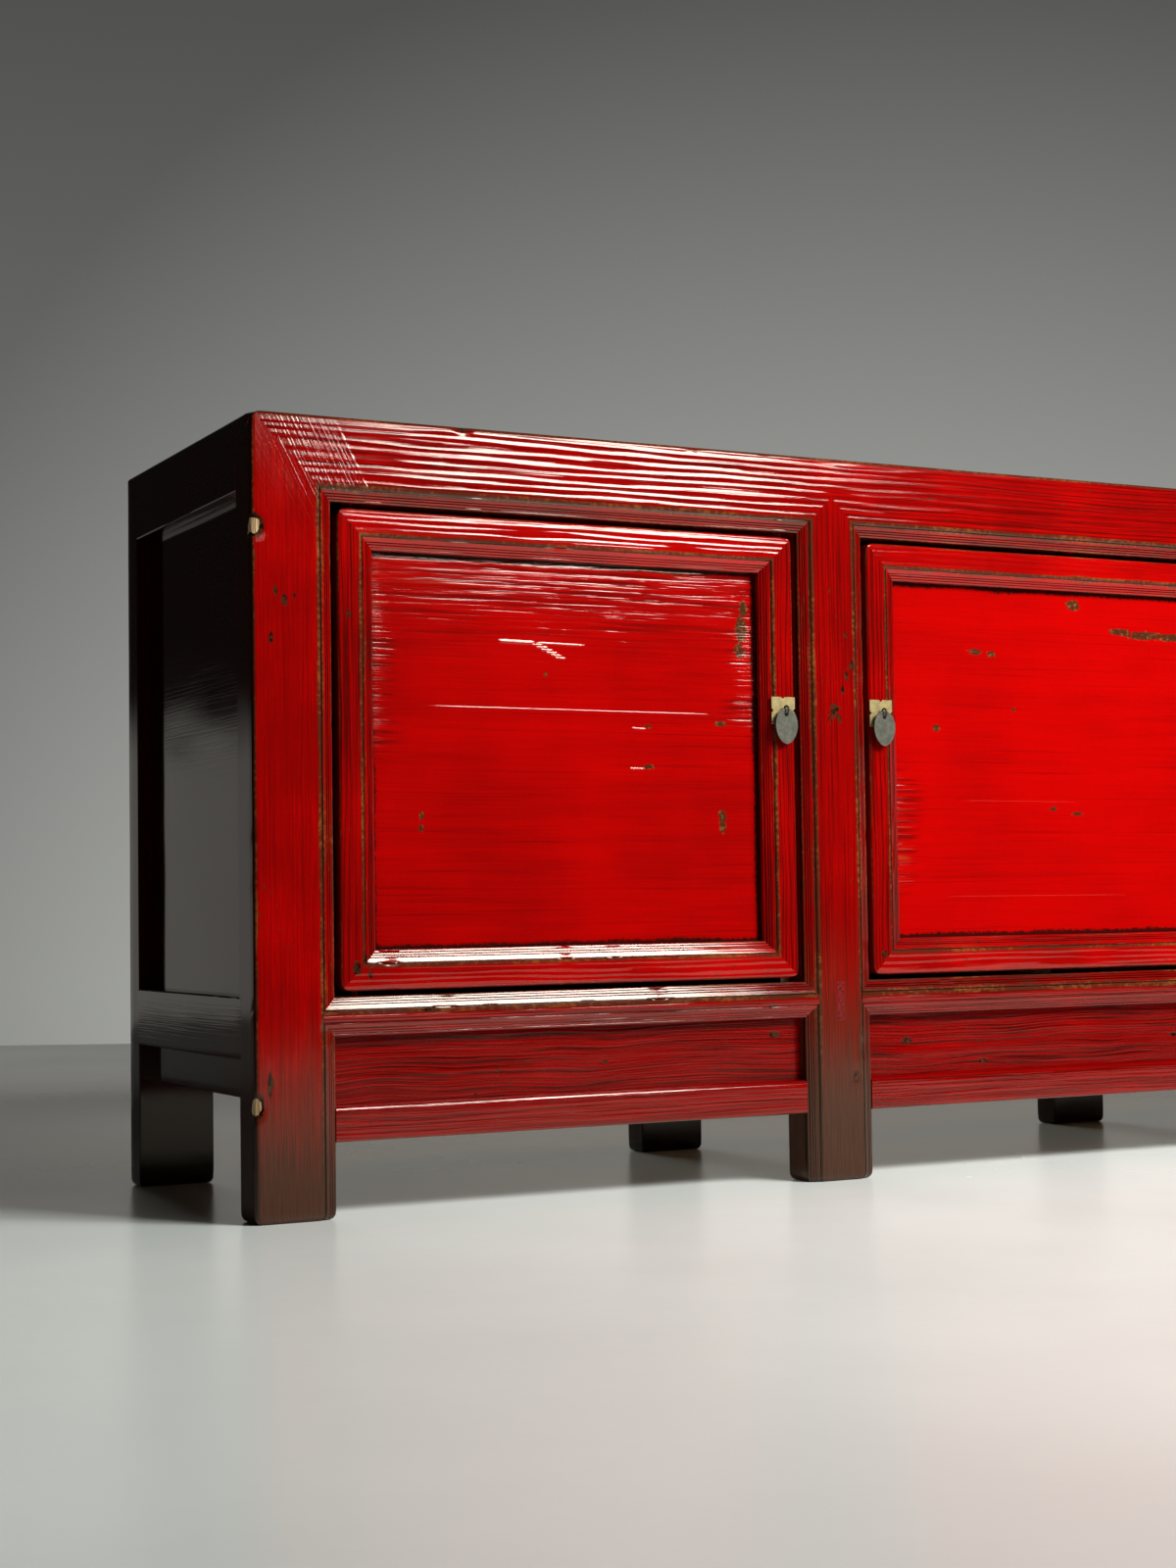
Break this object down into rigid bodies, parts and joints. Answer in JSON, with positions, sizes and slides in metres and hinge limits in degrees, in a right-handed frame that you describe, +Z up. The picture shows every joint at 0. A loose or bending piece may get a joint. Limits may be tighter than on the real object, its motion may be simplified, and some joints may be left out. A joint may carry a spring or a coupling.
{
  "type": "lacquered sideboard",
  "caption": "Long flush-framed sideboard in red lacquer with panelled pivot doors, moulded edges, post legs and brass drop pulls, used for storage along a wall.",
  "frame": {"origin": "middle of the bounding box at floor level, under the feet", "axes": "+X along the length to the right seen from the front, +Y from the doors to the back, +Z up"},
  "size_m": [2.117, 0.4571, 0.85],
  "materials": {
    "red_lacquer": "glossy red lacquer over softwood, grain showing, worn brown along the edges",
    "bare_softwood": "planed softwood, thinly stained, with open grain",
    "plate_brass": "hammered sheet brass, rubbed and spotted",
    "drop_brass": "dulled grey brass with a bright worn rim"
  },
  "bodies": {
    "carcass": {"apron_panels": "red_lacquer", "back_panels": "bare_softwood", "back_rails": "bare_softwood", "bottom_rail_1": "red_lacquer", "bottom_rail_2": "red_lacquer", "bottom_rail_3": "red_lacquer", "door_stops": "bare_softwood", "floor_bearers": "bare_softwood", "floor_boards": "bare_softwood", "front_post_1": "red_lacquer", "front_post_2": "red_lacquer", "front_post_3": "red_lacquer", "front_post_4": "red_lacquer", "rear_post_1": "red_lacquer", "rear_post_2": "red_lacquer", "rear_post_3": "red_lacquer", "rear_post_4": "red_lacquer", "shelf_bearers": "bare_softwood", "shelf_boards": "bare_softwood", "side_apron_left": "red_lacquer", "side_apron_right": "red_lacquer", "side_panel_left": "red_lacquer", "side_panel_right": "red_lacquer", "side_rail_left": "red_lacquer", "side_rail_right": "red_lacquer", "threshold_1": "red_lacquer", "threshold_2": "red_lacquer", "threshold_3": "red_lacquer", "top_battens": "bare_softwood", "top_board_front": "red_lacquer", "top_board_rear": "red_lacquer", "top_rail_front": "red_lacquer", "top_rail_left": "red_lacquer", "top_rail_rear": "red_lacquer", "top_rail_right": "red_lacquer"},
    "door_1": {"door_1_bottom_rail": "red_lacquer", "door_1_free_stile": "red_lacquer", "door_1_hinge_stile": "red_lacquer", "door_1_panel": "red_lacquer", "door_1_pull_pin": "drop_brass", "door_1_pull_plate": "plate_brass", "door_1_top_rail": "red_lacquer"},
    "drop_1": {"door_1_pull_drop": "drop_brass"},
    "door_2": {"door_2_bottom_rail": "red_lacquer", "door_2_free_stile": "red_lacquer", "door_2_hinge_stile": "red_lacquer", "door_2_panel": "red_lacquer", "door_2_pull_pin": "drop_brass", "door_2_pull_plate": "plate_brass", "door_2_top_rail": "red_lacquer"},
    "drop_2": {"door_2_pull_drop": "drop_brass"},
    "door_3": {"door_3_bottom_rail": "red_lacquer", "door_3_free_stile": "red_lacquer", "door_3_hinge_stile": "red_lacquer", "door_3_panel": "red_lacquer", "door_3_pull_pin": "drop_brass", "door_3_pull_plate": "plate_brass", "door_3_top_rail": "red_lacquer"},
    "drop_3": {"door_3_pull_drop": "drop_brass"}
  },
  "joints": [
    {"name": "door_1_swing", "type": "hinge", "parent": "carcass", "child": "door_1", "pos_m": [-0.9405, -0.19745, 0.49575], "axis": [0, 0, -1], "range_deg": [0, 100]},
    {"name": "drop_1_swing", "type": "hinge", "parent": "door_1", "child": "drop_1", "pos_m": [-0.406, -0.22235, 0.549], "axis": [-1, 0, 0], "range_deg": [0, 150]},
    {"name": "door_2_swing", "type": "hinge", "parent": "carcass", "child": "door_2", "pos_m": [0.2655, -0.19745, 0.49575], "axis": [0, 0, 1], "range_deg": [0, 100]},
    {"name": "drop_2_swing", "type": "hinge", "parent": "door_2", "child": "drop_2", "pos_m": [-0.269, -0.22235, 0.549], "axis": [-1, 0, 0], "range_deg": [0, 150]},
    {"name": "door_3_swing", "type": "hinge", "parent": "carcass", "child": "door_3", "pos_m": [0.9405, -0.19745, 0.49575], "axis": [0, 0, 1], "range_deg": [0, 100]},
    {"name": "drop_3_swing", "type": "hinge", "parent": "door_3", "child": "drop_3", "pos_m": [0.406, -0.22235, 0.549], "axis": [-1, 0, 0], "range_deg": [0, 150]}
  ]
}
